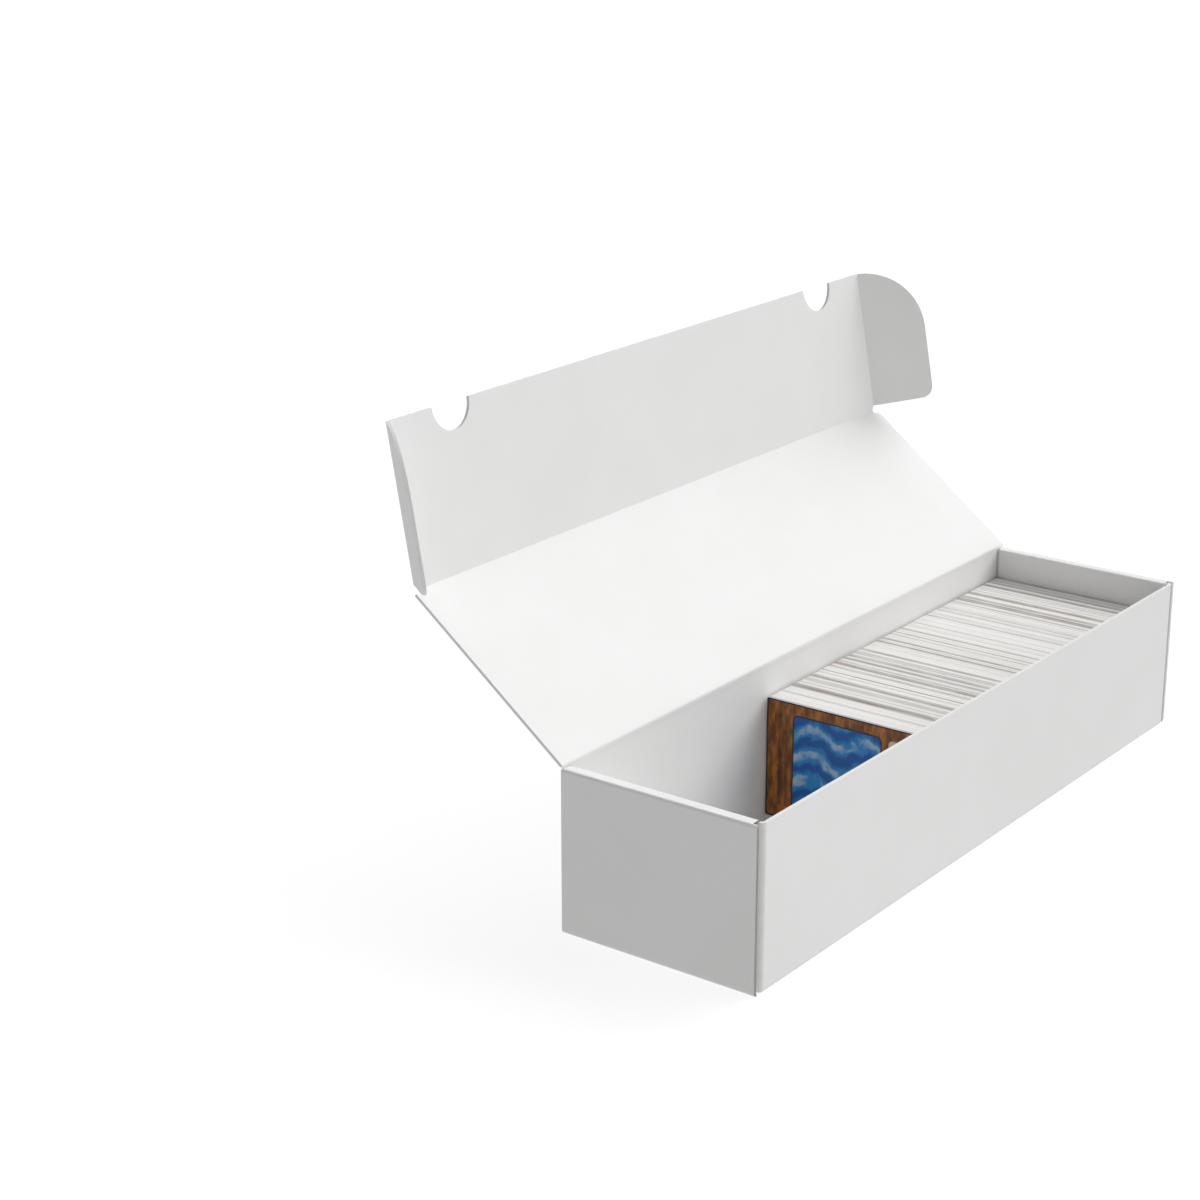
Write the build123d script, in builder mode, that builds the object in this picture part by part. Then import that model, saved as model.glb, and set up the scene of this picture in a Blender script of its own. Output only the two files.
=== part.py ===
from build123d import *
from math import sin
import os

# A long storage box for trading cards, folded from one sheet of thin corrugated board: double
# end walls with a rolled rim, and a lid creased to the back wall whose front panel and two ears
# tuck over and into the box. It stands open, with a row of cards in it. Each panel between two
# creases is a piece of its own. The origin is the middle of the underside, +X runs along the
# box, -Y is its front and +Z is up. Lengths are in millimetres and angles in degrees.

# Cards
card_width = 86.0
card_height = 59.0
card_thickness = 0.3
card_corner_radius = 0.8
cards_per_pack = 24
pack_count = 30
pack_gap = 0.1
pack_scatter = 0.4  # how far the packs stand unevenly
card_clearance = 0.3  # under the cards and at the end of the row
card_side_gap = 0.7  # between the row and the back wall
finger_room = 10.3  # between the row and the front wall
front_card_gap = 0.15  # between the front card and the first pack

# Box, measured over its outside: as deep as its cards and the room beside them
board = 1.5
box_length = 381.0
box_depth = card_width + card_side_gap + finger_room + 2 * board
box_height = 76.0

# Folds and cut edges
fold_radius = 2.0  # outside of the folds at the base and along the rolled rims
corner_radius = 2.5  # outside of the folds down the four corners
crease_gap = 0.3  # from a hinged panel's rounded edge to the panel it is creased to
cut_gap = 0.2  # between the cut edges of fixed panels
end_wall_setback = 0.8  # end walls' cut edges behind the faces of the front and back walls

# Dust flaps and locking tabs
flap_length = 40.0
flap_taper = 4.0
flap_lift = 0.4  # cut edges of the flaps and corners above what is under them
tab_width = 20.0
tab_spacing = 50.0
tab_rise = 0.2  # locking tabs end this far above the underside

# Lid, its front panel and the ears
lid_clearance = 0.3  # closed lid above the rims, and closed front panel before the front wall
lid_inset = 0.3  # lid's ends inside the ends of the box
front_panel_lift = 3.0  # closed front panel's free edge above the underside
notch_radius = 12.5
notch_inset = 43.0  # middle of a thumb notch from the end of the box
ear_length = 33.0
ear_corner_radius = 6.0
ear_clearance = 0.25  # each side of an ear in its pocket
ear_drop = 0.5  # tucked ear below the board of the rolled rim

# How the box stands open
lid_open_angle = 142.7  # lid from closed
front_fold_angle = 42.0  # front panel from flat with the lid
ear_fold_angle = 50.0  # ears from flat with the front panel

os.makedirs("parts", exist_ok=True)

half_length = box_length / 2
half_depth = box_depth / 2
middle_bend = fold_radius - board / 2

# An end of the box, from its outer face inwards: outer wall, ear pocket, dust flap, inner wall
pocket_width = board + 2 * ear_clearance
flap_face = half_length - board - pocket_width
inner_wall_face = flap_face - 2 * board
rim_width = half_length - inner_wall_face
corner_x = flap_face - corner_radius
corner_y = half_depth - corner_radius
rim_reach = corner_y - cut_gap


def keep(piece, name):
    """Label a finished piece and write it under its name."""
    piece.label = name
    export_step(piece, f"parts/{name}.step")


def keep_pair(piece, name, mirrored_name, about):
    """Write a piece and its mirror image."""
    keep(piece, name)
    with BuildPart() as mirrored:
        mirror(piece, about=about)
    keep(mirrored.part, mirrored_name)


# Base panel: stops where the folds begin, and is slotted for the tabs of the inner end walls
with BuildPart() as base_panel:
    with BuildSketch():
        Rectangle(2 * (half_length - fold_radius), 2 * rim_reach)
        Rectangle(2 * corner_x, 2 * (half_depth - fold_radius))
        with GridLocations(2 * inner_wall_face + board, tab_spacing, 2, 2):
            Rectangle(board + 2 * cut_gap, tab_width + 2 * cut_gap, mode=Mode.SUBTRACT)
    extrude(amount=board)
keep(base_panel.part, "base_panel")

# Front and back walls: up from the base, each with its fold
with BuildPart() as front_wall:
    with BuildSketch(Plane.YZ):
        with BuildLine():
            base_fold = JernArc((fold_radius - half_depth, board / 2), (-1, 0), middle_bend, -90)
            Line(base_fold @ 1, (board / 2 - half_depth, box_height))
        trace(line_width=board)
    extrude(amount=corner_x, both=True)
keep_pair(front_wall.part, "front_wall", "back_wall", Plane.XZ)

# Outer end walls: up from the base to the rolled rim
rim_fold_start = box_height - fold_radius
with BuildPart() as end_outer_wall:
    with BuildSketch(Plane.XZ):
        with BuildLine():
            base_fold = JernArc((half_length - fold_radius, board / 2), (1, 0), middle_bend, 90)
            Line(base_fold @ 1, (half_length - board / 2, rim_fold_start))
        trace(line_width=board)
    extrude(amount=half_depth - end_wall_setback, both=True)
keep_pair(end_outer_wall.part, "right_end_outer_wall", "left_end_outer_wall", Plane.YZ)

# Rolled rims: over the pocket and the dust flaps, between two folds. The outer fold is as wide as
# the outer wall, and the rest stops short of the corner columns.
with BuildPart() as end_roll_top:
    with BuildSketch(Plane.XZ):
        with BuildLine():
            outer_fold = JernArc((half_length - board / 2, rim_fold_start), (0, 1), middle_bend, 90)
            rim_flat = Line(outer_fold @ 1, outer_fold @ 1 - (rim_width - 2 * fold_radius, 0))
            JernArc(rim_flat @ 1, (-1, 0), middle_bend, 90)
        trace(line_width=board)
    extrude(amount=rim_reach, both=True)
    with BuildSketch(Plane.XZ):
        with BuildLine():
            add(outer_fold)
        trace(line_width=board)
    extrude(amount=half_depth - end_wall_setback, both=True)
keep_pair(end_roll_top.part, "right_end_roll_top", "left_end_roll_top", Plane.YZ)

# Inner end walls: down from the rim, with tabs that lock into the base
with BuildPart() as end_inner_wall:
    with BuildSketch(Plane.YZ.offset(inner_wall_face)):
        with Locations((0, board)):
            Rectangle(2 * rim_reach, rim_fold_start - board, align=(Align.CENTER, Align.MIN))
        with Locations((-tab_spacing / 2, tab_rise), (tab_spacing / 2, tab_rise)):
            Rectangle(tab_width, board - tab_rise, align=(Align.CENTER, Align.MIN))
    extrude(amount=board)
keep_pair(end_inner_wall.part, "right_end_inner_wall", "left_end_inner_wall", Plane.YZ)

# Dust flaps: round the corner from the front or back wall, then inside the end, under the rim
flap_bottom = board + flap_lift
flap_top = box_height - board - flap_lift
with BuildPart() as dust_flap:
    with BuildSketch(Plane.XY.offset(flap_lift)):
        with BuildLine():
            JernArc((corner_x, board / 2 - half_depth), (1, 0), corner_radius - board / 2, 90)
        trace(line_width=board)
    extrude(amount=box_height - flap_lift)
    with BuildSketch(Plane.YZ.offset(flap_face)):
        with BuildLine():
            Polyline(
                (-corner_y, flap_bottom),
                (flap_length - corner_y, flap_bottom + flap_taper),
                (flap_length - corner_y, flap_top - flap_taper),
                (-corner_y, flap_top),
                close=True,
            )
        make_face()
    extrude(amount=-board)
keep_pair(dust_flap.part, "front_right_dust_flap", "front_left_dust_flap", Plane.YZ)
with BuildPart() as back_dust_flap:
    mirror(dust_flap.part, about=Plane.XZ)
keep_pair(back_dust_flap.part, "back_right_dust_flap", "back_left_dust_flap", Plane.YZ)

# Crease axes run through the middle of the board. Each moving panel has a plane at its crease:
# local X runs along the box, local Y away from the crease, and local Z to the inside of the fold.
edge_gap = board / 2 + crease_gap
lid_axis_height = box_height + lid_clearance + board / 2
lid_reach = box_depth + lid_clearance
front_reach = lid_axis_height - front_panel_lift
ear_axis_x = half_length - board - pocket_width / 2
front_half_length = ear_axis_x - edge_gap

closed_lid_plane = Plane((0, half_depth - board / 2, lid_axis_height), (1, 0, 0), (0, 0, -1))
lid_plane = Plane(closed_lid_plane.location * Location((0, 0, 0), (-lid_open_angle, 0, 0)))
front_plane = Plane(lid_plane.location * Location((0, lid_reach, 0), (front_fold_angle, 0, 0)))
ear_plane = Plane(front_plane.location * Location((ear_axis_x, 0, 0), (0, -ear_fold_angle, 0)))

# Lid: from the crease at the back wall to the crease at its front panel
with BuildPart() as lid_top_panel:
    with BuildSketch(lid_plane):
        Rectangle(2 * (half_length - lid_inset), lid_reach - edge_gap, align=(Align.CENTER, Align.MIN))
    extrude(amount=board / 2, both=True)
    with BuildSketch(Plane(lid_plane.origin, z_dir=lid_plane.x_dir)):
        Circle(board / 2)
    extrude(amount=half_length - lid_inset, both=True)
keep(lid_top_panel.part, "lid_top_panel")

# Lid's front panel: half-round thumb notches in its free edge
with BuildPart() as lid_front_panel:
    with BuildSketch(front_plane):
        Rectangle(2 * front_half_length, front_reach, align=(Align.CENTER, Align.MIN))
        with Locations((notch_inset - half_length, front_reach), (half_length - notch_inset, front_reach)):
            Circle(notch_radius, mode=Mode.SUBTRACT)
    extrude(amount=board / 2, both=True)
    with BuildSketch(Plane(front_plane.origin, z_dir=front_plane.x_dir)):
        Circle(board / 2)
    extrude(amount=front_half_length, both=True)
keep(lid_front_panel.part, "lid_front_panel")

# Ears: from the ends of the front panel, a wide sweep on the free side and a small corner above
ear_top = lid_axis_height - (box_height - board - ear_drop)
with BuildPart() as lid_ear:
    with BuildSketch(ear_plane):
        with BuildLine():
            top_edge = Line((0, ear_top), (ear_length - ear_corner_radius, ear_top))
            corner = JernArc(top_edge @ 1, (1, 0), ear_corner_radius, 90)
            outer_edge = Line(corner @ 1, (ear_length, front_reach - ear_length))
            sweep_edge = JernArc(outer_edge @ 1, (0, 1), ear_length, 90)
            Line(sweep_edge @ 1, (0, ear_top))
        make_face()
    extrude(amount=board / 2, both=True)
    with BuildSketch(Plane(ear_plane.from_local_coords((0, ear_top, 0)), z_dir=ear_plane.y_dir)):
        Circle(board / 2)
    extrude(amount=front_reach - ear_top)
keep_pair(lid_ear.part, "lid_right_ear", "lid_left_ear", Plane.YZ)

# Cards: a row of packs that stand a little unevenly, back against the right end wall
pack_thickness = cards_per_pack * card_thickness
row_end = inner_wall_face - card_clearance
row_front = row_end - pack_count * pack_thickness - (pack_count - 1) * pack_gap
card_middle_y = half_depth - board - card_side_gap - card_width / 2
card_middle_z = board + card_clearance + card_height / 2
with BuildPart() as card_row:
    for pack in range(pack_count):
        pack_x = row_front + pack * (pack_thickness + pack_gap)
        aside = pack_scatter * (1 + sin(2.3 * pack)) / 2
        rise = pack_scatter * (1 + sin(1.7 * pack)) / 2
        with BuildSketch(Plane.YZ.offset(pack_x)):
            with Locations((card_middle_y - aside, card_middle_z + rise)):
                RectangleRounded(card_width, card_height, card_corner_radius)
        extrude(amount=pack_thickness)
keep(card_row.part, "card_row")

with BuildPart() as front_card:
    with BuildSketch(Plane.YZ.offset(row_front - front_card_gap)):
        with Locations((card_middle_y, card_middle_z)):
            RectangleRounded(card_width, card_height, card_corner_radius)
    extrude(amount=-card_thickness)
keep(front_card.part, "front_card")
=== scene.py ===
"""Long white folding box for trading cards: its looks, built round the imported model.

Lengths in the dataclasses are millimetres. Every mesh is written in metres, in the model's frame: +X along
the box, -Y its front and +Z up.
"""

import logging
import math
import random
from dataclasses import dataclass, field
from enum import Enum
from typing import Callable, Mapping, Sequence, Union

import bmesh
import bpy
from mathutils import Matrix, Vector


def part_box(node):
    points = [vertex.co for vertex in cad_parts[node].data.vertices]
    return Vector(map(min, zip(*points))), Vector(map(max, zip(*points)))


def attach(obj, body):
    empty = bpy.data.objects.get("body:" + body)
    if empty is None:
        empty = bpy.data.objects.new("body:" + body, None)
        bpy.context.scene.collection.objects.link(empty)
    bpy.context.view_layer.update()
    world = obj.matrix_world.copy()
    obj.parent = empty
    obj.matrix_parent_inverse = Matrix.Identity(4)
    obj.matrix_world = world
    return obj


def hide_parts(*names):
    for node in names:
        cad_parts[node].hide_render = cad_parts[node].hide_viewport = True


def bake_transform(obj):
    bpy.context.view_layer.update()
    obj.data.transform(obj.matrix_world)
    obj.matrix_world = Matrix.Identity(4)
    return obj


MM = 0.001
LOG = logging.getLogger("card_box")

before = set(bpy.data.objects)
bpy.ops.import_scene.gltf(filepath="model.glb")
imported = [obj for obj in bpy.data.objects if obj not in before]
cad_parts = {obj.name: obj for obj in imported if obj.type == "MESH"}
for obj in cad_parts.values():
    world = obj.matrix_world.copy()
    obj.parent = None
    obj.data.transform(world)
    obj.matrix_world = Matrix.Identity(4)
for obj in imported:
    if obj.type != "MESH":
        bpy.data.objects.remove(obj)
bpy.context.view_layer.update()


class Slot(Enum):
    """The record's material slots."""

    BOARD = "white_board"
    STOCK = "card_stock"
    PRINT = "card_print"


# ---------------------------------------------------------------- shader maths


class Field:
    """A number that varies over a surface. Arithmetic on it adds Math nodes."""

    def __init__(self, bench: "Bench", socket: bpy.types.NodeSocket) -> None:
        """Wrap a socket.

        Args:
            bench: The material whose tree holds the socket.
            socket: The output socket that gives the number.
        """
        self.bench = bench
        self.socket = socket

    def _math(self, operation: str, *values: "Number") -> "Field":
        """Add one Math node and wrap its result."""
        node = self.bench.node("ShaderNodeMath", {"operation": operation}, dict(enumerate(values)))
        return Field(self.bench, node.outputs[0])

    def __add__(self, other: "Number") -> "Field":
        """This number plus another."""
        return self._math("ADD", self, other)

    def __radd__(self, other: "Number") -> "Field":
        """Another number plus this one."""
        return self._math("ADD", other, self)

    def __sub__(self, other: "Number") -> "Field":
        """This number less another."""
        return self._math("SUBTRACT", self, other)

    def __rsub__(self, other: "Number") -> "Field":
        """Another number less this one."""
        return self._math("SUBTRACT", other, self)

    def __mul__(self, other: "Number") -> "Field":
        """This number times another."""
        return self._math("MULTIPLY", self, other)

    def __rmul__(self, other: "Number") -> "Field":
        """Another number times this one."""
        return self._math("MULTIPLY", other, self)

    def __abs__(self) -> "Field":
        """The size of this number, without its sign."""
        return self._math("ABSOLUTE", self)

    def sine(self) -> "Field":
        """The sine of this number, in radians."""
        return self._math("SINE", self)

    def larger(self, other: "Number") -> "Field":
        """The larger of this number and another."""
        return self._math("MAXIMUM", self, other)

    def ramp(self, start: float, end: float) -> "Field":
        """Rise smoothly from 0 to 1 between two values of this number.

        Args:
            start: Where the result is 0.
            end: Where the result is 1. It may lie below start.

        Returns:
            The smooth step.
        """
        sockets = {"Value": self, "From Min": start, "From Max": end}
        node = self.bench.node("ShaderNodeMapRange", {"interpolation_type": "SMOOTHSTEP"}, sockets)
        return Field(self.bench, node.outputs["Result"])


Number = Union[Field, float]
Triple = tuple[float, float, float]
Colour = Triple
Tint = Union[bpy.types.NodeSocket, Colour]
Spot = tuple[float, float]
Outline = list[Spot]
Finishes = Sequence[bpy.types.Material]


class Bench:
    """The node tree of one material, round its one shader."""

    def __init__(self, name: str) -> None:
        """Start a material.

        Args:
            name: The material's name.
        """
        self.material = bpy.data.materials.new(name)
        self.material.use_nodes = True
        self.tree = self.material.node_tree
        self.shader = self.tree.nodes["Principled BSDF"]

    def node(
        self,
        kind: str,
        settings: Mapping[str, object] | None = None,
        sockets: Mapping[int | str, object] | None = None,
    ) -> bpy.types.Node:
        """Add a node.

        Args:
            kind: The node's type.
            settings: Its properties, which are set first.
            sockets: Values or links for its inputs, by name or place.

        Returns:
            The node.
        """
        made = self.tree.nodes.new(kind)
        for key, value in (settings or {}).items():
            setattr(made, key, value)
        for key, value in (sockets or {}).items():
            self.feed(made.inputs[key], value)
        return made

    def feed(self, socket: bpy.types.NodeSocket, value: object) -> None:
        """Link or set one input.

        Args:
            socket: The input.
            value: A field, a socket, a colour, a vector or a number.
        """
        if isinstance(value, Field):
            self.tree.links.new(value.socket, socket)
        elif isinstance(value, bpy.types.NodeSocket):
            self.tree.links.new(value, socket)
        elif socket.type == "RGBA":
            socket.default_value = (*value, 1.0)
        else:
            socket.default_value = value

    def place(self) -> bpy.types.NodeSocket:
        """The point on the piece, in metres."""
        return self.node("ShaderNodeTexCoord").outputs["Object"]

    def along(self, point: bpy.types.NodeSocket) -> tuple[Field, Field, Field]:
        """Split a point into its three numbers."""
        parts = self.node("ShaderNodeSeparateXYZ", None, {0: point}).outputs
        return Field(self, parts[0]), Field(self, parts[1]), Field(self, parts[2])

    def stretch(self, point: bpy.types.NodeSocket, scale: Triple) -> bpy.types.NodeSocket:
        """Scale a point's three numbers.

        Args:
            point: The point.
            scale: The factor of each number.

        Returns:
            The scaled point.
        """
        return self.node("ShaderNodeVectorMath", {"operation": "MULTIPLY"}, {0: point, 1: scale}).outputs[0]

    def noise(
        self, point: bpy.types.NodeSocket, scale: float, detail: float = 3.0, rough: float = 0.55
    ) -> Field:
        """Soft noise from 0 to 1.

        Args:
            point: Where it is read.
            scale: Waves per metre.
            detail: Finer layers.
            rough: Strength of the finer layers.

        Returns:
            The noise.
        """
        sockets = {"Vector": point, "Scale": scale, "Detail": detail, "Roughness": rough}
        return Field(self, self.node("ShaderNodeTexNoise", None, sockets).outputs[0])

    def attribute(self, name: str) -> Field:
        """A number stored in the mesh."""
        return Field(self, self.node("ShaderNodeAttribute", {"attribute_name": name}).outputs["Fac"])

    def mix(self, share: Number, first: Tint, second: Tint) -> bpy.types.NodeSocket:
        """Mix two colours.

        Args:
            share: How much of the second shows.
            first: The colour at 0.
            second: The colour at 1.

        Returns:
            The mixed colour.
        """
        return self.node("ShaderNodeMix", {"data_type": "RGBA"}, {0: share, 6: first, 7: second}).outputs[2]

    def relief(self, height: Field, strength: float, reach: float) -> bpy.types.NodeSocket:
        """Turn a height into a normal.

        Args:
            height: The height, from 0 to 1.
            strength: How strongly it shows.
            reach: The height of 1, in metres.

        Returns:
            The normal.
        """
        sockets = {"Strength": strength, "Distance": reach, "Height": height}
        return self.node("ShaderNodeBump", None, sockets).outputs[0]

    def shade(self, **values: object) -> bpy.types.Material:
        """Set the shader's inputs, spaces written as underscores, and give the material."""
        for key, value in values.items():
            self.feed(self.shader.inputs[key.replace("_", " ")], value)
        return self.material


# ---------------------------------------------------------------- finishes


@dataclass(frozen=True)
class LinerFinish:
    """White top liner of the board: smooth clay-coated paper over fine flutes."""

    white: Colour = (0.885, 0.885, 0.88)
    shade: Colour = (0.86, 0.86, 0.852)
    scuff: Colour = (0.80, 0.79, 0.77)

    def make(self) -> bpy.types.Material:
        """Build the material."""
        bench = Bench("board_liner")
        point = bench.place()
        cloud = bench.noise(point, scale=22.0, detail=2.0)
        fibre = bench.noise(bench.stretch(point, (1.0, 1.0, 0.35)), scale=1500.0, detail=4.0, rough=0.7)
        speck = bench.noise(point, scale=420.0, detail=2.0).ramp(0.66, 0.78)
        coat = bench.mix(cloud.ramp(0.35, 0.7) * 0.6 + speck * 0.25, self.white, self.shade)
        worn = bench.attribute("wear") * bench.noise(point, scale=160.0).ramp(0.42, 0.62)
        colour = bench.mix(worn * 0.5, coat, self.scuff)
        height = fibre * 0.6 + cloud * 0.4
        return bench.shade(
            Base_Color=colour,
            Roughness=0.5 + fibre * 0.16 + worn * 0.2,
            Normal=bench.relief(height, strength=0.12, reach=0.00025),
            Specular_IOR_Level=0.3,
        )


@dataclass(frozen=True)
class RawEdgeFinish:
    """Cut edge of the board: two liners with the wave of the fluting between them, and painted shade in the
    gaps of the fluting.
    """

    name: str = "board_cut_edge"
    liner: Colour = (0.92, 0.92, 0.915)
    flute: Colour = (0.90, 0.895, 0.885)
    # Colour of the painted shade in the gaps of the fluting; depth is how strongly it is mixed in.
    hollow_shade: Colour = (0.74, 0.73, 0.72)
    depth: float = 0.4
    relief: float = 0.3
    relief_height: float = 0.0002
    pitch: float = 1.9
    swing: float = 0.32

    def make(self) -> bpy.types.Material:
        """Build the material."""
        bench = Bench(self.name)
        point = bench.place()
        fibre = bench.noise(point, scale=1700.0, rough=0.7)
        run = bench.node("ShaderNodeUVMap", {"uv_map": "board"}).outputs[0]
        along, across, _ = bench.along(run)
        wave = (along * (math.tau / self.pitch)).sine() * self.swing
        from_middle = across * 2.0 - 1.0
        medium = abs(from_middle - wave).ramp(0.34, 0.12)
        core = abs(from_middle).ramp(0.82, 0.62)
        # Where the gaps of the fluting lie, inside the core and off the wave: painted shade darkens the
        # colour there, and the bump sinks.
        hollow_shade = core * (1.0 - medium)
        colour = bench.mix(hollow_shade * self.depth, bench.mix(core, self.liner, self.flute), self.hollow_shade)
        return bench.shade(
            Base_Color=colour,
            Roughness=0.75 + fibre * 0.15,
            Normal=bench.relief(fibre * 0.5 - hollow_shade, self.relief, self.relief_height),
            Specular_IOR_Level=0.2,
        )


@dataclass(frozen=True)
class CardStockFinish:
    """Edges and plain faces of the cards: off-white stock, whose dark cores and borders show as lines."""

    bright: Colour = (0.90, 0.89, 0.875)
    cream: Colour = (0.80, 0.785, 0.76)
    grey: Colour = (0.17, 0.165, 0.17)
    brown: Colour = (0.27, 0.165, 0.10)

    def make(self) -> bpy.types.Material:
        """Build the material."""
        bench = Bench("card_stock")
        point = bench.place()
        tone, line, warm = (bench.attribute(name) for name in ("tone", "line", "warm"))
        fibre = bench.noise(bench.stretch(point, (1.0, 0.12, 0.3)), scale=900.0, rough=0.6)
        rub = bench.noise(bench.stretch(point, (1.0, 0.2, 0.2)), scale=240.0, detail=2.0).ramp(0.3, 0.62)
        ink = bench.mix(warm.ramp(0.45, 0.65), self.grey, self.brown)
        colour = bench.mix(line * (0.6 + rub * 0.4), bench.mix(tone, self.bright, self.cream), ink)
        return bench.shade(
            Base_Color=colour,
            Roughness=0.55 + fibre * 0.2,
            Normal=bench.relief(fibre, strength=0.15, reach=0.0001),
            Specular_IOR_Level=0.3,
        )


@dataclass(frozen=True)
class Window:
    """A rounded window on a card's print, in millimetres, centred over the card's height."""

    left: float
    right: float
    top: float
    radius: float


@dataclass(frozen=True)
class CardPrintFinish:
    """A printed side of a card: mottled frame, two bars, a rounded panel of soft waves and a ruled plate.

    The map "print" gives millimetres from the card's left and top edge.
    """

    name: str
    panel_deep: Colour = (0.0, 0.085, 0.35)
    panel_mid: Colour = (0.005, 0.22, 0.55)
    panel_pale: Colour = (0.42, 0.52, 0.60)
    plate: Colour = (0.62, 0.52, 0.38)
    frame_dark: Colour = (0.13, 0.04, 0.005)
    frame_light: Colour = (0.42, 0.145, 0.016)
    margin: Colour = (0.008, 0.006, 0.005)
    height: float = 59.0
    bar_window: Window = Window(4.0, 14.0, 6.5, 0.4)
    panel_rim: Window = Window(14.2, 62.0, 5.4, 3.2)
    panel_window: Window = Window(14.9, 61.3, 6.1, 2.6)
    plate_window: Window = Window(65.5, 80.5, 6.1, 2.0)
    face_window: Window = Window(0.75, 85.25, 0.75, 0.6)
    bar_middle: float = 9.2
    bar_spread: float = 1.9
    rule_pitch: float = 2.4
    rule_top: float = 11.0
    rule_foot: float = 45.0
    blur: float = 0.12

    def within(self, across: Field, down: Field, window: Window) -> Field:
        """Where a rounded window lies.

        Args:
            across: Millimetres from the card's left edge.
            down: Millimetres from its top edge.
            window: The window.

        Returns:
            1 inside and 0 outside.
        """
        half = (window.right - window.left) / 2 - window.radius
        tall = self.height / 2 - window.top - window.radius
        aside = (abs(across - (window.left + window.right) / 2) - half).larger(0.0)
        above = (abs(down - self.height / 2) - tall).larger(0.0)
        far, near = (window.radius + self.blur) ** 2, (window.radius - self.blur) ** 2
        return (aside * aside + above * above).ramp(far, near)

    def picture(self, bench: Bench, run: bpy.types.NodeSocket, mottle: Field) -> bpy.types.NodeSocket:
        """Colour of the panel: soft waves with pale foam.

        Args:
            bench: The material.
            run: The map of the print.
            mottle: The noise of the print.

        Returns:
            The colour.
        """
        across, down, _ = bench.along(run)
        drift = bench.noise(run, scale=0.09)
        bow = (across * 0.21 + drift * 5.0).sine() * 1.6
        swell = (down * 0.5 + bow + mottle * 2.2).sine() * 0.5 + 0.5
        water = bench.mix(swell.ramp(0.05, 0.6), self.panel_deep, self.panel_mid)
        foam = swell.ramp(0.62, 0.95) * drift.ramp(0.36, 0.6)
        return bench.mix(foam * 0.85, water, self.panel_pale)

    def make(self) -> bpy.types.Material:
        """Build the material."""
        bench = Bench(self.name)
        run = bench.node("ShaderNodeUVMap", {"uv_map": "print"}).outputs[0]
        across, down, _ = bench.along(run)
        mottle = bench.noise(bench.stretch(run, (1.0, 0.3, 1.0)), scale=0.3, detail=4.0)
        stripes = (across * (math.tau / self.rule_pitch)).sine().ramp(0.72, 0.9)
        rules = stripes * down.ramp(self.rule_top, self.rule_top + 0.2)
        rules = rules * down.ramp(self.rule_foot, self.rule_foot - 0.2)
        bars = abs(abs(across - self.bar_middle) - self.bar_spread).ramp(1.3, 0.7)
        bars = bars * self.within(across, down, self.bar_window)
        colour = bench.mix(mottle.ramp(0.36, 0.66), self.frame_dark, self.frame_light)
        colour = bench.mix(bars * 0.5, colour, self.margin)
        colour = bench.mix(self.within(across, down, self.panel_rim), colour, self.margin)
        picture = self.picture(bench, run, mottle)
        colour = bench.mix(self.within(across, down, self.panel_window), colour, picture)
        ruled = bench.mix(rules * 0.6, self.plate, self.frame_dark)
        colour = bench.mix(self.within(across, down, self.plate_window), colour, ruled)
        colour = bench.mix(self.within(across, down, self.face_window), self.margin, colour)
        return bench.shade(
            Base_Color=colour,
            Roughness=0.34 + mottle * 0.12,
            Normal=bench.relief(mottle, strength=0.05, reach=0.0001),
            Specular_IOR_Level=0.4,
            Coat_Weight=0.15,
        )


FACE_PRINT = CardPrintFinish("card_face_print")
BACK_PRINT = CardPrintFinish(
    "card_back_print",
    panel_deep=(0.05, 0.02, 0.008),
    panel_mid=(0.13, 0.055, 0.02),
    panel_pale=(0.36, 0.2, 0.09),
    plate=(0.2, 0.09, 0.03),
)

# Painted shade: the left end wall's cut edges get a darker copy of the cut-edge finish, which stands in for
# the shaded gap at the box's front left corner, so they look dark from every side. The other cut edges of the
# box keep the plain finish.
PAINTED_SHADE_EDGE = RawEdgeFinish(
    "board_cut_edge_painted_shade",
    liner=(0.5, 0.5, 0.49),
    flute=(0.4, 0.395, 0.385),
    hollow_shade=(0.2, 0.2, 0.19),
    depth=0.8,
    relief=0.1,
)


# ---------------------------------------------------------------- folded board


def write_mesh(name: str, shape: bmesh.types.BMesh, finishes: Finishes) -> bpy.types.Object:
    """Turn a millimetre mesh into an object in the scene.

    Args:
        name: The piece's name.
        shape: The mesh, in millimetres. It is freed.
        finishes: Its materials, in the order of its faces' numbers.

    Returns:
        The object.
    """
    bmesh.ops.scale(shape, vec=(MM, MM, MM), verts=shape.verts)
    mesh = bpy.data.meshes.new(name)
    shape.to_mesh(mesh)
    shape.free()
    for finish in finishes:
        mesh.materials.append(finish)
    piece = bpy.data.objects.new(name, mesh)
    bpy.context.scene.collection.objects.link(piece)
    return piece


def close_prism(
    shape: bmesh.types.BMesh, first: Sequence[bmesh.types.BMVert], second: Sequence[bmesh.types.BMVert]
) -> list[bmesh.types.BMFace]:
    """Close the form between two rings of points.

    Args:
        shape: The mesh.
        first: One ring, anticlockwise as seen from the second.
        second: The other ring, point for point.

    Returns:
        The first end, the second end and the faces round the side.
    """
    faces = [shape.faces.new(list(reversed(first))), shape.faces.new(second)]
    for here in range(len(first)):
        there = (here + 1) % len(first)
        faces.append(shape.faces.new((first[here], first[there], second[there], second[here])))
    return faces


@dataclass(frozen=True)
class Bend:
    """A bend in the middle of the board. A left turn is positive and goes to the inside of the box."""

    radius: float
    angle: float

    @property
    def length(self) -> float:
        """Length of the board's middle in the bend."""
        return self.radius * math.radians(abs(self.angle))


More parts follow.
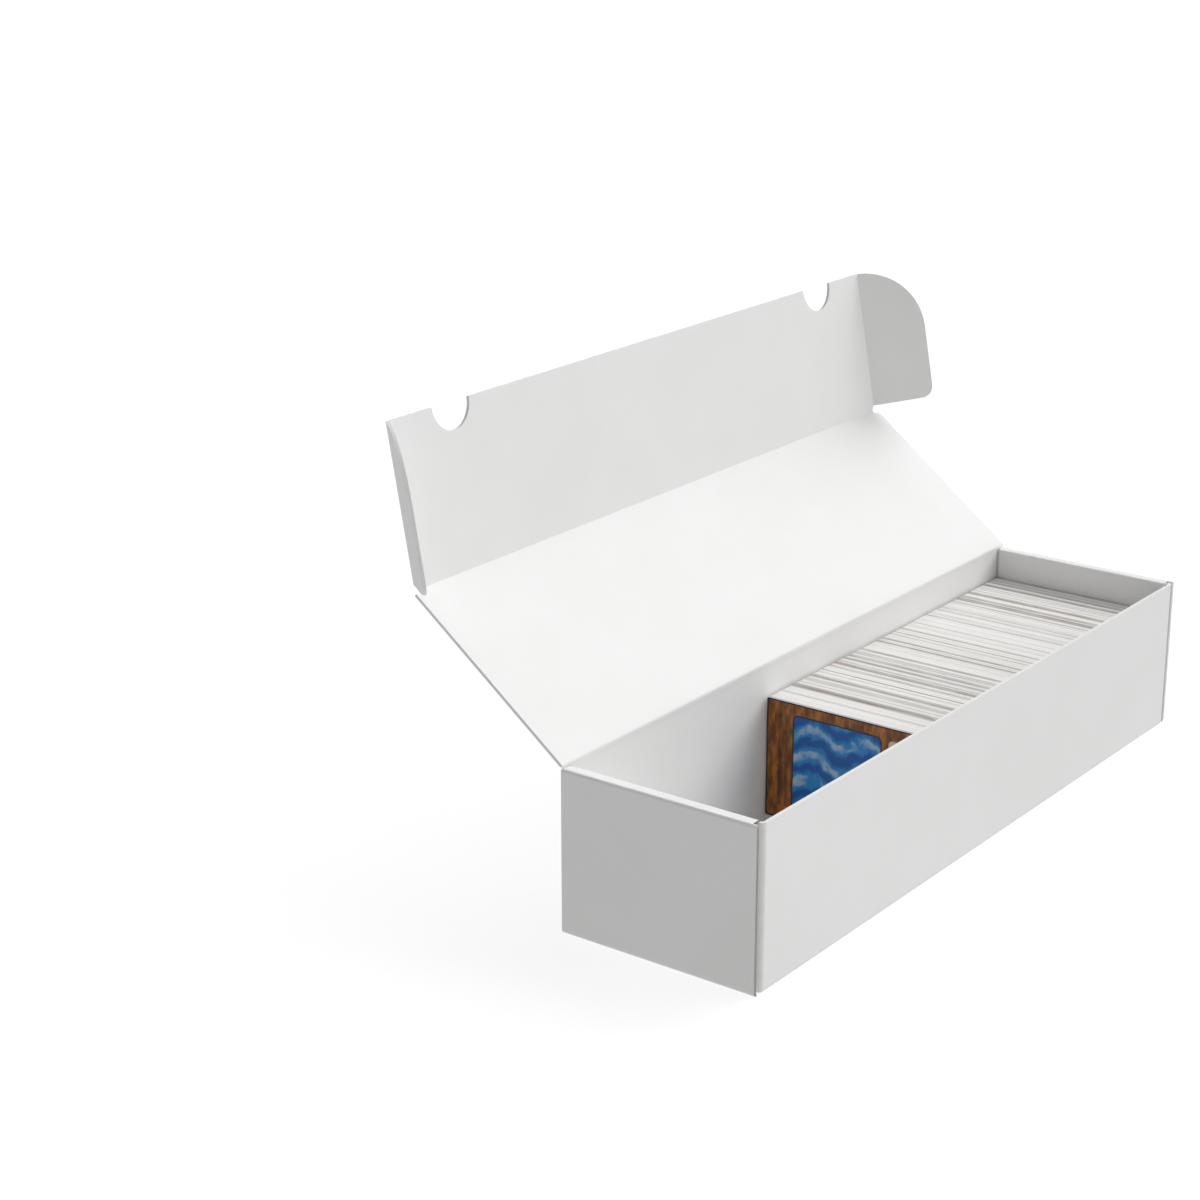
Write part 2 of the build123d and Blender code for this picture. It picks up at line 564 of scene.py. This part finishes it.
@dataclass(frozen=True)
class FoldPath:
    """Where the middle of the board runs in a section across its folds: straight runs and bends in turn."""

    start: Spot
    heading: float
    runs: tuple[Union[float, Bend], ...]

    def at(self, distance: float, outwards: float = 0.0) -> Spot:
        """Follow the board.

        Args:
            distance: How far along the middle of the board.
            outwards: How far from the middle, to the outside.

        Returns:
            The point in the section.
        """
        across, up = self.start
        heading = math.radians(self.heading)
        left = distance
        for number, run in enumerate(self.runs):
            last = number == len(self.runs) - 1
            length = run.length if isinstance(run, Bend) else run
            step = left if last else min(max(left, 0.0), length)
            if isinstance(run, Bend):
                turn = math.copysign(step / run.radius, run.angle)
                chord = 2 * run.radius * math.sin(abs(turn) / 2)
                across += chord * math.cos(heading + turn / 2)
                up += chord * math.sin(heading + turn / 2)
                heading += turn
            else:
                across += step * math.cos(heading)
                up += step * math.sin(heading)
            left -= step
            if left <= 1e-9 and not last:
                break
        return across + outwards * math.sin(heading), up - outwards * math.cos(heading)

    def begins(self, number: int) -> float:
        """Distance along the board at which a run begins."""
        return sum(run.length if isinstance(run, Bend) else run for run in self.runs[:number])

    def cuts(self, steps: int = 6) -> list[float]:
        """Distances at which the flat board is sliced so that its bends come out round."""
        places = []
        for number, run in enumerate(self.runs):
            if isinstance(run, Bend):
                first = self.begins(number)
                places += [first + run.length * step / steps for step in range(steps + 1)]
        return places


class Blank:
    """A flat piece of board with softened cut edges, sliced where it will be folded."""

    def __init__(self, outline: Outline, board: float, grain: int = 1, soft: float = 0.16) -> None:
        """Cut the blank.

        Args:
            outline: Its outline, anticlockwise.
            board: Thickness of the board.
            grain: Which number of a flat point the waves of the fluting follow.
            soft: Width of the softened edge.
        """
        self.board = board
        self.grain = grain
        self.shape = bmesh.new()
        self.worn = self.shape.faces.layers.float.new("wear")
        lower = [self.shape.verts.new((u, s, -board / 2)) for u, s in outline]
        upper = [self.shape.verts.new((u, s, board / 2)) for u, s in outline]
        sides = close_prism(self.shape, lower, upper)[2:]
        edges = dict.fromkeys(edge for side in sides for edge in side.edges)
        rims = [edge for edge in edges if abs(edge.verts[0].co.z - edge.verts[1].co.z) < board / 2]
        bmesh.ops.bevel(
            self.shape,
            geom=rims,
            offset=soft,
            segments=2,
            profile=0.6,
            affect="EDGES",
            clamp_overlap=True,
        )
        for face in self.shape.faces:
            face.normal_update()
            tilt = abs(face.normal.z)
            face.material_index = 1 if tilt < 0.5 else 0
            face[self.worn] = 1.0 if 0.01 < tilt < 0.99 else 0.0

    def slice(self, axis: int, places: Sequence[float]) -> None:
        """Slice the blank along lines.

        Args:
            axis: 0 for lines at a place along the box, 1 for lines across it.
            places: Where the lines are.
        """
        normal = Vector((1, 0, 0)) if axis == 0 else Vector((0, 1, 0))
        for place in places:
            geometry = [*self.shape.verts, *self.shape.edges, *self.shape.faces]
            bmesh.ops.bisect_plane(
                self.shape, geom=geometry, dist=1e-5, plane_co=normal * place, plane_no=normal
            )

    def scuff(self, amount: float, chosen: Callable[[Vector], bool]) -> None:
        """Mark faces as worn.

        Args:
            amount: From 0 to 1.
            chosen: Tells from a face's middle whether it is one of them.
        """
        for face in self.shape.faces:
            if chosen(face.calc_center_median()):
                face[self.worn] = max(face[self.worn], amount)

    def fold(
        self,
        name: str,
        place: Callable[[float, float, float], Vector],
        finishes: Finishes,
        chosen: Callable[[Vector], bool] = lambda middle: True,
    ) -> bpy.types.Object:
        """Fold a part of the blank into place.

        Args:
            name: The piece's name.
            place: Gives a point of the folded board from a point of the flat one.
            finishes: Material of the paper and of the cut edge.
            chosen: Tells from a face's middle whether it is part of this piece.

        Returns:
            The piece.
        """
        part = self.shape.copy()
        away = [face for face in part.faces if not chosen(face.calc_center_median())]
        bmesh.ops.delete(part, geom=away, context="FACES")
        run = part.loops.layers.uv.new("board")
        for face in part.faces:
            face.smooth = True
            for corner in face.loops:
                corner[run].uv = (corner.vert.co[self.grain], corner.vert.co.z / self.board + 0.5)
        for vert in part.verts:
            vert.co = place(*vert.co)
        bmesh.ops.recalc_face_normals(part, faces=part.faces)
        piece = write_mesh(name, part, finishes)
        even = piece.modifiers.new("even_normals", "WEIGHTED_NORMAL")
        even.keep_sharp = True
        even.weight = 90
        piece.data.set_sharp_from_angle(angle=math.radians(50))
        return piece


def arc(centre: Spot, radius: float, start: float, end: float, steps: int) -> Outline:
    """Points along an arc.

    Args:
        centre: Middle of the arc.
        radius: Its radius.
        start: Angle of its first point, in degrees.
        end: Angle of its last point.
        steps: Number of runs.

    Returns:
        The points, with both ends.
    """
    turns = [math.radians(start + (end - start) * step / steps) for step in range(steps + 1)]
    return [(centre[0] + radius * math.cos(turn), centre[1] + radius * math.sin(turn)) for turn in turns]


@dataclass(frozen=True)
class Board:
    """Sizes of the box that its sheets share."""

    length: float = 381.0
    depth: float = 100.0
    height: float = 76.0
    board: float = 1.5
    fold_radius: float = 2.0
    corner_radius: float = 2.5
    corner_x: float = 184.5
    corner_y: float = 47.5
    rim_reach: float = 47.3
    end_reach: float = 49.2
    flap_length: float = 40.0
    seam_drop: float = 1.4

    @property
    def bend(self) -> float:
        """Radius of the middle of the board in the folds of the base and the rims."""
        return self.fold_radius - self.board / 2

    @property
    def corner_bend(self) -> float:
        """Radius of the middle of the board round the corners."""
        return self.corner_radius - self.board / 2


@dataclass
class LongWall:
    """A long wall with its fold to the base and the two dust flaps round its corners."""

    name: str
    side: float
    sizes: Board = field(default_factory=Board)
    column_foot: float = 0.9
    flap_foot: float = 1.9
    flap_corner: float = 1.5
    taper: float = 4.0
    corner_drop: float = 4.0
    notch: float = 0.3
    wear: float = 0.6

    def path(self) -> FoldPath:
        """Section from the base up the wall."""
        sizes = self.sizes
        start = (sizes.depth / 2 - sizes.fold_radius, sizes.board / 2)
        return FoldPath(start, 0.0, (Bend(sizes.bend, 90.0), sizes.height - sizes.fold_radius))

    def place(self, u: float, s: float, h: float) -> Vector:
        """Fold up the wall, then wrap its ends round the corners.

        Args:
            u: Place along the box in the flat board.
            s: Place up the wall in the flat board.
            h: Height over the middle of the flat board.

        Returns:
            The point in the box.
        """
        sizes = self.sizes
        y, z = self.path().at(s, h)
        over = abs(u) - sizes.corner_x
        x = abs(u)
        if over > 0:
            reach = y - sizes.corner_y
            quarter = Bend(sizes.corner_bend, 90.0).length
            turn = min(over, quarter) / sizes.corner_bend
            x = sizes.corner_x + reach * math.sin(turn)
            y = sizes.corner_y + reach * math.cos(turn) - max(over - quarter, 0.0)
        return Vector((math.copysign(x, u), self.side * y, z))

    def outline(self) -> Outline:
        """Outline of the wall and its flaps in the flat board."""
        sizes = self.sizes
        rise = Bend(sizes.bend, 90.0).length - sizes.fold_radius
        top = sizes.height + rise
        side = sizes.corner_x + Bend(sizes.corner_bend, 90.0).length
        tip = side + sizes.flap_length
        high = sizes.height - self.flap_foot + rise
        half = [
            (sizes.corner_x - 0.01, 0.0),
            (sizes.corner_x, self.column_foot),
            (side, self.column_foot),
            (side + self.notch, self.flap_foot + rise),
            (tip - self.flap_corner, self.flap_foot + self.taper + rise),
            (tip, self.flap_foot + self.taper + self.flap_corner + rise),
            (tip, high - self.taper - self.flap_corner),
            (tip - self.flap_corner, high - self.taper),
            (side + self.notch, high - self.corner_drop),
            (side + self.notch, top - self.notch),
            (side, top),
        ]
        return half + [(-u, s) for u, s in reversed(half)]

    def build(self, finishes: Finishes) -> bpy.types.Object:
        """Cut and fold the wall.

        Args:
            finishes: Paper and cut edge.

        Returns:
            The piece.
        """
        sizes = self.sizes
        blank = Blank(self.outline(), sizes.board)
        blank.slice(1, self.path().cuts())
        quarter = Bend(sizes.corner_bend, 90.0).length
        rings = [sizes.corner_x + quarter * step / 6 for step in range(7)]
        blank.slice(0, rings + [-ring for ring in rings])
        seam = sizes.height - sizes.seam_drop + Bend(sizes.bend, 90.0).length - sizes.fold_radius
        if self.side > 0:
            blank.slice(1, [seam])
        blank.scuff(self.wear, lambda middle: sizes.corner_x < abs(middle.x) < sizes.corner_x + quarter)

        def below_seam(middle: Vector) -> bool:
            """Leave out the strip above the seam, which belongs to the lid's crease."""
            return self.side < 0 or middle.y < seam or abs(middle.x) > sizes.corner_x

        return blank.fold(self.name, self.place, finishes, below_seam)


@dataclass
class EndWall:
    """A double end wall in one sheet: fold to the base, outer wall, rolled rim, inner wall and its tabs."""

    name: str
    side: float
    sizes: Board = field(default_factory=Board)
    rim_width: float = 6.5
    rim_bend: float = 0.6
    pocket_cover: float = 1.95
    front_gap: float = 1.2
    tab_width: float = 20.0
    tab_spacing: float = 50.0
    tab_length: float = 1.3
    tab_lead: float = 0.4
    wear: float = 0.25

    def path(self) -> FoldPath:
        """Section from the base over the rim and down to the floor of the box."""
        sizes = self.sizes
        start = (sizes.length / 2 - sizes.fold_radius, sizes.board / 2)
        roll = Bend(self.rim_bend, 90.0)
        roll_size = self.rim_bend + sizes.board / 2
        wall = sizes.height - sizes.fold_radius - roll_size
        inner = sizes.height - roll_size - sizes.board
        runs = (Bend(sizes.bend, 90.0), wall, roll, self.rim_width - 2 * roll_size, roll, inner)
        return FoldPath(start, 0.0, runs)

    def place(self, u: float, s: float, h: float) -> Vector:
        """Fold the sheet up, over and down.

        Args:
            u: Place across the box in the flat board.
            s: Place along the section.
            h: Height over the middle of the flat board.

        Returns:
            The point in the box.
        """
        x, z = self.path().at(s, h)
        return Vector((self.side * x, u, z))

    def half_outline(self, step: float, gap: float) -> Outline:
        """One half of the sheet's outline, from the base to its middle.

        Args:
            step: Where along the section the sheet narrows to pass inside the corner column.
            gap: How far the top of the rim stops short of that column.

        Returns:
            The points.
        """
        sizes = self.sizes
        down, foot = self.path().begins(5), self.path().begins(6)
        rim_end = sizes.rim_reach - gap
        half = [(sizes.end_reach, 0.0), (sizes.end_reach, step), (rim_end, step), (rim_end, down)]
        half += [(sizes.rim_reach, down + self.front_gap), (sizes.rim_reach, foot)]
        for edge in (1, -1):
            tab_edge = self.tab_spacing / 2 + edge * self.tab_width / 2
            near, far = (foot, foot + self.tab_length) if edge > 0 else (foot + self.tab_length, foot)
            half += [(tab_edge, near), (tab_edge - self.tab_lead * (edge > 0), far)]
        return half

    def outline(self) -> Outline:
        """Outline of the flat sheet. Its rim covers the pocket at the back and not at the front."""
        rim_flat = self.path().begins(3)
        back = self.half_outline(rim_flat + self.pocket_cover, 0.0)
        front = self.half_outline(rim_flat, self.front_gap)
        return back + [(-u, s) for u, s in reversed(front)]

    def build(self, finishes: Finishes) -> bpy.types.Object:
        """Cut and fold the end wall.

        Args:
            finishes: Paper and cut edge.

        Returns:
            The piece.
        """
        blank = Blank(self.outline(), self.sizes.board, grain=0)
        path = self.path()
        blank.slice(1, path.cuts())
        outer_fold, rim_flat = path.begins(2), path.begins(3)
        blank.scuff(self.wear, lambda middle: outer_fold < middle.y < rim_flat)
        return blank.fold(self.name, self.place, finishes)


@dataclass
class Lid:
    """Lid, front panel and ears in one sheet, from the top of the back wall to the free edge."""

    sizes: Board = field(default_factory=Board)
    half_lid: float = 190.2
    crease_height: float = 77.05
    reach: float = 100.3
    front_reach: float = 74.05
    half_front: float = 186.95
    ear_axis: float = 188.0
    lean: float = 52.7
    front_fold: float = 42.0
    ear_fold: float = 50.0
    crease_half: float = 0.3
    press: float = 0.1
    press_width: float = 0.4
    notch_radius: float = 12.5
    notch_inset: float = 43.0
    ear_top: float = 3.05
    ear_length: float = 33.0
    ear_corner: float = 6.0
    margin: float = 1.6
    step_down: float = 0.75
    step_end: float = 0.2
    step_lead: float = 0.6
    inset: float = 0.3
    wear: float = 0.3
    wear_reach: float = 0.8
    ear_probe: float = 20.0

    def bend_at(self, angle: float) -> Bend:
        """A crease's bend, which begins and ends at the same distance from its axis."""
        return Bend(self.crease_half / math.tan(math.radians(abs(angle)) / 2), angle)

    def path(self) -> FoldPath:
        """Section from the back wall's top through the lid to the free edge."""
        sizes = self.sizes
        start_z = sizes.height - sizes.seam_drop
        first = self.crease_height - self.crease_half - start_z
        lid = self.reach - 2 * self.crease_half
        front = self.front_reach - self.crease_half
        runs = (first, self.bend_at(-self.lean), lid, self.bend_at(self.front_fold), front)
        return FoldPath((sizes.depth / 2 - sizes.board / 2, start_z), 90.0, runs)

    def ear_path(self) -> FoldPath:
        """Section along the front panel and out through an ear."""
        runs = (self.ear_axis - self.crease_half, self.bend_at(self.ear_fold), self.ear_length)
        return FoldPath((0.0, 0.0), 0.0, runs)

    def pressed(self, distance: float) -> float:
        """Share of the board's thickness that is left near a crease."""
        return 1.0 - self.press * math.exp(-((distance / self.press_width) ** 2))

    def place(self, u: float, s: float, h: float) -> Vector:
        """Fold the sheet.

        Args:
            u: Place along the box in the flat board.
            s: Place along the section.
            h: Height over the middle of the flat board.

        Returns:
            The point in the open box.
        """
        path, ears = self.path(), self.ear_path()
        for number in (1, 3):
            h *= self.pressed(s - path.begins(number) - path.runs[number].length / 2)
        if s < path.begins(4) or abs(u) <= ears.begins(1):
            y, z = path.at(s, h)
            return Vector((u, y, z))
        h *= self.pressed(abs(u) - ears.begins(1) - ears.runs[1].length / 2)
        x, inwards = ears.at(abs(u), h)
        y, z = path.at(s, -inwards)
        return Vector((math.copysign(x, u), y, z))

    def outline(self) -> Outline:
        """Outline of the whole sheet in the flat board."""
        path = self.path()
        crease = path.begins(1) + path.runs[1].length / 2
        front = path.begins(4)
        edge = front + self.front_reach - self.crease_half
        ear_from = front - self.crease_half + self.ear_top
        ear_tip = self.ear_path().begins(2) + self.ear_length - self.crease_half
        corner, step = self.ear_corner, crease - self.step_down
        panel_end = self.half_front - self.inset
        half = [(self.sizes.corner_x, 0.0), (self.sizes.corner_x, step)]
        half += [(self.half_lid - self.step_lead, step)]
        half += [(self.half_lid, crease - self.step_end), (self.half_lid, front - self.crease_half)]
        half += [(panel_end, front + self.inset), (panel_end, ear_from - self.inset)]
        half += [(self.half_front, ear_from)]
        half += arc((ear_tip - corner, ear_from + corner), corner, -90, 0, 8)
        half += arc((ear_tip - self.ear_length, edge - self.ear_length), self.ear_length, 0, 90, 28)
        notch = self.sizes.length / 2 - self.notch_inset
        half += arc((notch, edge), self.notch_radius, 0, -180, 28)
        return half + [(-u, s) for u, s in reversed(half)]

    def build(self, finishes: Finishes) -> dict[str, bpy.types.Object]:
        """Cut and fold the sheet, in pieces that meet at open seams.

        Args:
            finishes: Paper and cut edge.

        Returns:
            The pieces by name.
        """
        path, ears = self.path(), self.ear_path()
        blank = Blank(self.outline(), self.sizes.board)
        blank.slice(1, path.cuts(10))
        near, far = path.begins(2) + self.margin, path.begins(3) - self.margin
        fold_end = path.begins(4) + self.margin
        ear_start, ear_end = ears.begins(1) - self.margin, ears.begins(2) + self.margin
        blank.slice(1, [near, far, fold_end])
        rings = [*ears.cuts(10), ear_start, ear_end]
        blank.slice(0, rings + [-ring for ring in rings])
        creases = [path.begins(number) + path.runs[number].length / 2 for number in (1, 3)]
        blank.scuff(self.wear, lambda middle: min(abs(middle.y - line) for line in creases) < self.wear_reach)

        def panel_zone(middle: Vector) -> bool:
            """Tell whether a face lies in the front panel or the ears."""
            return middle.y > fold_end

        zones = {
            "back_crease": lambda middle: middle.y < near,
            "lid_sheet": lambda middle: near < middle.y < far,
            "front_crease": lambda middle: far < middle.y < fold_end and abs(middle.x) < ear_start,
            "front_panel_sheet": lambda middle: panel_zone(middle) and abs(middle.x) < ear_start,
        }
        for side, name in ((-1, "left"), (1, "right")):
            zones[f"{name}_ear_crease"] = (
                lambda middle, side=side: panel_zone(middle) and ear_start < side * middle.x < ear_end
            )
            zones[f"{name}_ear_sheet"] = (
                lambda middle, side=side: panel_zone(middle) and side * middle.x > ear_end
            )
        return {name: blank.fold(name, self.place, finishes, zone) for name, zone in zones.items()}

    def hinge_points(self) -> dict[str, tuple[Vector, Vector]]:
        """Both ends of the bend in each crease strip, in metres."""
        path, ears = self.path(), self.ear_path()

        def section(number: int) -> tuple[Vector, Vector]:
            """Both ends of a bend across the lid."""
            ends = (path.at(path.begins(number)), path.at(path.begins(number + 1)))
            return tuple(Vector((0.0, y, z)) * MM for y, z in ends)

        points = {"back_crease": section(1), "front_crease": section(3)}
        low = path.begins(4) + self.ear_probe
        for side, name in ((-1, "left"), (1, "right")):
            points[f"{name}_ear_crease"] = tuple(
                self.place(side * distance, low, 0.0) * MM for distance in (ears.begins(1), ears.begins(2))
            )
        return points


# ---------------------------------------------------------------- cards


def card_outline(width: float, height: float, corner: float) -> Outline:
    """A card's outline, from its lower front corner.

    Args:
        width: Length of the edge it stands on.
        height: Its height as it stands.
        corner: Radius of its corners.

    Returns:
        The points, anticlockwise.
    """
    points = []
    for turn, (y, z) in enumerate(((0, 0), (width, 0), (width, height), (0, height))):
        centre = (min(max(y, corner), width - corner), min(max(z, corner), height - corner))
        points += arc(centre, corner, 180 + 90 * turn, 270 + 90 * turn, 3)
    return points


@dataclass
class CardRow:
    """The row of single cards, standing on their long edges."""

    width: float = 86.0
    height: float = 59.0
    corner: float = 0.8
    thickness: float = 0.285
    count: int = 720
    seed: int = 11
    fresh: float = 16.0
    fresh_age: float = 0.4
    band_chance: float = 0.07
    bundle_chance: float = 0.06
    gap_power: int = 12

    def next_run(self, dice: random.Random, share: float) -> tuple[int, float, float]:
        """Pick the next few cards that look alike from above.

        Args:
            dice: The row's chances.
            share: How much of this part of the row is lined, from 0 to 1.

        Returns:
            How many cards, how dark their edges are and how brown.
        """
        if dice.random() < self.band_chance * share:
            return dice.randint(6, 11), dice.uniform(0.35, 0.6), dice.random()
        if dice.random() < 0.3 + 0.4 * share:
            return dice.randint(2, 3), dice.uniform(0.55, 1.0) * (0.45 + 0.55 * share), dice.random()
        return dice.randint(3, 9), 0.0, 0.0

    def build(self, stock: bpy.types.Material) -> bpy.types.Object:
        """Build the row where the packs of the model stand.

        Args:
            stock: The finish of the cards.

        Returns:
            The row.
        """
        dice = random.Random(self.seed)
        low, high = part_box("card_row")
        start, end = low.x / MM, high.x / MM
        spare = end - start - self.count * self.thickness
        gaps = [dice.random() ** self.gap_power for _ in range(self.count - 1)]
        share = spare / sum(gaps)
        shape = bmesh.new()
        layers = [shape.verts.layers.float.new(name) for name in ("tone", "line", "warm")]
        outline = card_outline(self.width, self.height, self.corner)
        x, rise, aside = start, 0.1, 0.1
        bundle = self.fresh_age
        left, line, warm = 0, 0.0, 0.0
        base_y, base_z = high.y / MM - self.width, low.z / MM
        for card in range(self.count):
            if dice.random() < self.bundle_chance:
                rise, aside = dice.uniform(0.0, 0.32), dice.uniform(0.0, 0.35)
                bundle = dice.uniform(0.15, 1.0)
            up, back = rise + dice.uniform(0, 0.07), aside + dice.uniform(0, 0.05)
            age = 1.0 if x - start > self.fresh else self.fresh_age
            if left == 0:
                left, line, warm = self.next_run(dice, age * bundle)
            left -= 1
            looks = (age * bundle * dice.random(), line * dice.uniform(0.7, 1.0), warm)
            rings = []
            for face_x in (x, x + self.thickness):
                ring = [shape.verts.new((face_x, base_y - back + y, base_z + up + z)) for y, z in outline]
                for vert in ring:
                    for layer, look in zip(layers, looks):
                        vert[layer] = look
                rings.append(ring)
            close_prism(shape, *rings)
            x += self.thickness + (gaps[card] * share if card < self.count - 1 else 0.0)
        return write_mesh("card_row_cards", shape, [stock])


@dataclass
class FrontCard:
    """The card before the row, with its print on both sides."""

    corner: float = 0.8

    def build(self, finishes: Finishes) -> bpy.types.Object:
        """Build the card where the model's stands.

        Args:
            finishes: Printed face, printed back and cut edge.

        Returns:
            The card.
        """
        low, high = (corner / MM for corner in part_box("front_card"))
        width, height = high.y - low.y, high.z - low.z
        shape = bmesh.new()
        run = shape.loops.layers.uv.new("print")
        outline = card_outline(width, height, self.corner)
        rings = [[shape.verts.new((x, low.y + y, low.z + z)) for y, z in outline] for x in (low.x, high.x)]
        for number, side in enumerate(close_prism(shape, *rings)):
            side.material_index = min(number, 2)
            for loop in side.loops:
                loop[run].uv = (high.y - loop.vert.co.y, high.z - loop.vert.co.z)
        return write_mesh("front_card_sheet", shape, finishes)


# ---------------------------------------------------------------- studio


@dataclass(frozen=True)
class Lamp:
    """A wide soft light, far away."""

    name: str
    azimuth: float
    elevation: float
    strength: float
    size: float = 50.0

    def hang(self) -> None:
        """Put the lamp in the scene. Azimuth is from -Y towards +X."""
        turn, lift = math.radians(self.azimuth), math.radians(self.elevation)
        towards = Vector((math.sin(turn) * math.cos(lift), -math.cos(turn) * math.cos(lift), math.sin(lift)))
        light = bpy.data.lights.new(self.name, "SUN")
        light.energy = self.strength
        light.angle = math.radians(self.size)
        lamp = bpy.data.objects.new(self.name, light)
        lamp.rotation_mode = "QUATERNION"
        lamp.rotation_quaternion = towards.to_track_quat("Z", "Y")
        bpy.context.scene.collection.objects.link(lamp)


@dataclass(frozen=True)
class Studio:
    """Floor, light and camera."""

    camera_place: Triple = (-977.5, -564.5, 492.8)
    camera_turn: Triple = (71.0714, 0.0901, -53.0332)
    lens: float = 77.508
    lamps: tuple[Lamp, ...] = (
        Lamp("side_key", 90.0, 40.0, 1.91),
        Lamp("corner_fill", 45.0, 35.0, 0.97),
        Lamp("front_fill", 0.0, 30.0, 0.22),
    )
    sky: float = 0.314
    bounce: float = 0.60
    floor_glow: float = 0.82
    floor_reach: float = 40000.0
    floor_height: float = -0.05
    bounce_height: float = -0.1

    def build(self) -> None:
        """Set up the floor, the light and the camera."""
        self.lay_floor()
        self.light()
        self.aim_camera()

    def lay_sheet(self, name: str, height: float, finish: bpy.types.Material) -> bpy.types.Object:
        """Lay a wide level sheet under the box.

        Args:
            name: The sheet's name.
            height: Its height.
            finish: Its material.

        Returns:
            The sheet.
        """
        shape = bmesh.new()
        bmesh.ops.create_grid(shape, x_segments=8, y_segments=8, size=self.floor_reach)
        bmesh.ops.translate(shape, vec=(0, 0, height), verts=shape.verts)
        sheet = write_mesh(name, shape, [finish])
        return sheet

    def lay_floor(self) -> None:
        """Lay the plain pale floor, and the sheet that gives its light to the box."""
        bench = Bench("studio_floor")
        cloud = bench.noise(bench.place(), scale=3.0)
        pale = bench.mix(cloud, (0.245, 0.245, 0.245), (0.255, 0.255, 0.255))
        white = (1.0, 1.0, 1.0)
        bench.shade(
            Base_Color=pale, Roughness=1.0, Emission_Color=white, Emission_Strength=self.floor_glow
        )
        floor = self.lay_sheet("studio_floor", self.floor_height, bench.material)
        floor.visible_diffuse = False
        glow = Bench("floor_bounce")
        glow.shade(Base_Color=(0.0, 0.0, 0.0), Emission_Color=white, Emission_Strength=self.bounce)
        bounce = self.lay_sheet("floor_bounce", self.bounce_height, glow.material)
        bounce.visible_camera = False

    def light(self) -> None:
        """Light the scene with soft lamps and an even sky."""
        for lamp in self.lamps:
            lamp.hang()
        world = bpy.data.worlds.new("even_sky")
        world.use_nodes = True
        back = world.node_tree.nodes["Background"]
        back.inputs["Color"].default_value = (1.0, 1.0, 1.0, 1.0)
        back.inputs["Strength"].default_value = self.sky
        bpy.context.scene.world = world
        bpy.context.scene.view_settings.view_transform = "Standard"

    def aim_camera(self) -> None:
        """Put the camera where the photograph was taken."""
        lens = bpy.data.cameras.new("photo_camera")
        lens.lens = self.lens
        lens.sensor_width = 36.0
        lens.clip_end = 100.0
        camera = bpy.data.objects.new("photo_camera", lens)
        camera.location = Vector(self.camera_place) * MM
        camera.rotation_euler = [math.radians(turn) for turn in self.camera_turn]
        bpy.context.scene.collection.objects.link(camera)
        bpy.context.scene.camera = camera


PANELS = {
    "lid_sheet": ("lid", "lid_top_panel"),
    "front_panel_sheet": ("lid_front", "lid_front_panel"),
    "left_ear_sheet": ("left_ear", "lid_left_ear"),
    "right_ear_sheet": ("right_ear", "lid_right_ear"),
}


def report(piece: bpy.types.Object) -> None:
    """Say that a piece is built, and how large its mesh is."""
    LOG.info("%s: %d vertices", piece.name, len(piece.data.vertices))


def stand_in(piece: bpy.types.Object, body: str, slot: Slot, *nodes: str) -> None:
    """Let a piece ride on a body in place of CAD nodes.

    Args:
        piece: The piece.
        body: The body that it moves with.
        slot: The material slot of its finish. It is not used.
        nodes: The nodes that it stands for.
    """
    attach(piece, body)
    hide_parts(*nodes)
    report(piece)


def main() -> None:
    """Build the box's looks in order."""
    logging.basicConfig(level=logging.INFO, format="%(message)s")
    liner = LinerFinish().make()
    stock = CardStockFinish().make()
    prints = (FACE_PRINT.make(), BACK_PRINT.make())
    board = (liner, RawEdgeFinish().make())
    # Cut edges with painted shade, for the left end wall.
    painted_shade_board = (liner, PAINTED_SHADE_EDGE.make())
    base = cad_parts["base_panel"]
    base.data.materials.clear()
    base.data.materials.append(liner)
    for name, side in (("front", -1.0), ("back", 1.0)):
        wall = LongWall(f"{name}_sheet", side).build(board)
        stand_in(wall, "box", Slot.BOARD, f"{name}_wall", f"{name}_left_dust_flap", f"{name}_right_dust_flap")
    # The left end wall's cut edges carry painted shade; the right end's keep the plain finish.
    for name, side, finishes in (("left", -1.0, painted_shade_board), ("right", 1.0, board)):
        wall = EndWall(f"{name}_end_sheet", side).build(finishes)
        panels = (f"{name}_end_outer_wall", f"{name}_end_roll_top", f"{name}_end_inner_wall")
        stand_in(wall, "box", Slot.BOARD, *panels)
    lid = Lid()
    hinges = lid.hinge_points()
    for name, piece in lid.build(board).items():
        if name in PANELS:
            body, node = PANELS[name]
            stand_in(piece, body, Slot.BOARD, node)
        else:
            start, end = hinges[name]
            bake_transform(piece)
            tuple(start)
            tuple(end)
            report(piece)
    stand_in(CardRow().build(stock), "cards", Slot.STOCK, "card_row")
    stand_in(FrontCard().build((*prints, stock)), "front_card", Slot.PRINT, "front_card")
    Studio().build()


if __name__ == "__main__":
    main()
